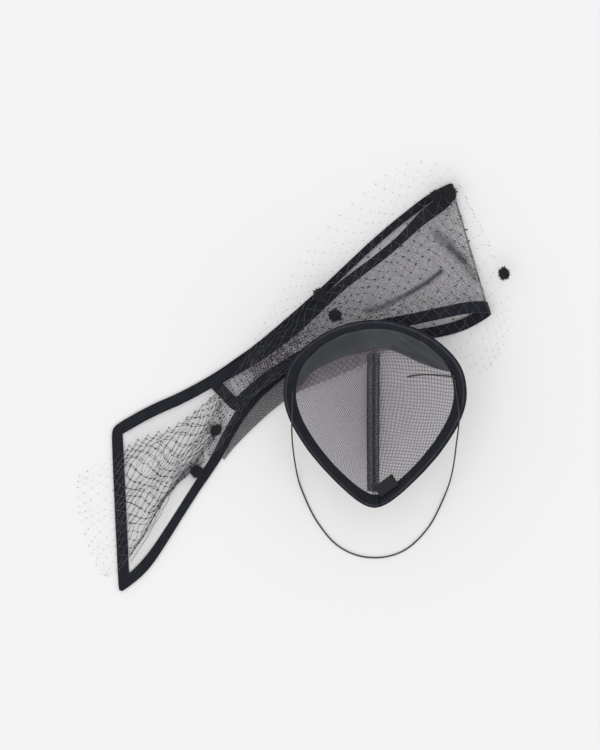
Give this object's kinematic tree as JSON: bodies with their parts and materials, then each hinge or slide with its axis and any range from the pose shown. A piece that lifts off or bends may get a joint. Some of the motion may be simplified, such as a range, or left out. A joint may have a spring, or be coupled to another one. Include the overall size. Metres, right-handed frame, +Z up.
{
  "type": "bow headpiece",
  "caption": "Small teardrop cap of see-through mesh, hollow up, with a velvet-bound mesh bow, a dotted net veil and a thin elastic, laid flat.",
  "frame": {"origin": "middle of the headpiece's footprint on the table it lies on", "axes": "+Z up from the table, +X from the bow's tail towards its loop side, +Y from the cap's point towards its straight-on top"},
  "size_m": [0.3669, 0.3668, 0.0464],
  "materials": {
    "velvet": "blue-black velvet with a soft pile",
    "mesh": "sheer black mesh",
    "net": "fine diamond veil net",
    "chenille": "fuzzy chenille",
    "satin": "dull satin",
    "tape": "woven tape",
    "elastic": "covered round elastic"
  },
  "bodies": {
    "root": {"bow_binding": "velvet", "bow_mesh": "mesh", "cap_binding": "velvet", "cap_left": "mesh", "cap_right": "mesh", "chenille_dot_1": "chenille", "chenille_dot_2": "chenille", "chenille_dot_3": "chenille", "chenille_dot_4": "chenille", "chenille_dot_5": "chenille", "chenille_dot_6": "chenille", "chenille_dot_7": "chenille", "elastic": "elastic", "elastic_knot": "elastic", "elastic_tail": "elastic", "inner_band": "satin", "label": "tape", "rolled_margin": "mesh", "seam_tape": "tape", "veil": "net"}
  },
  "joints": []
}
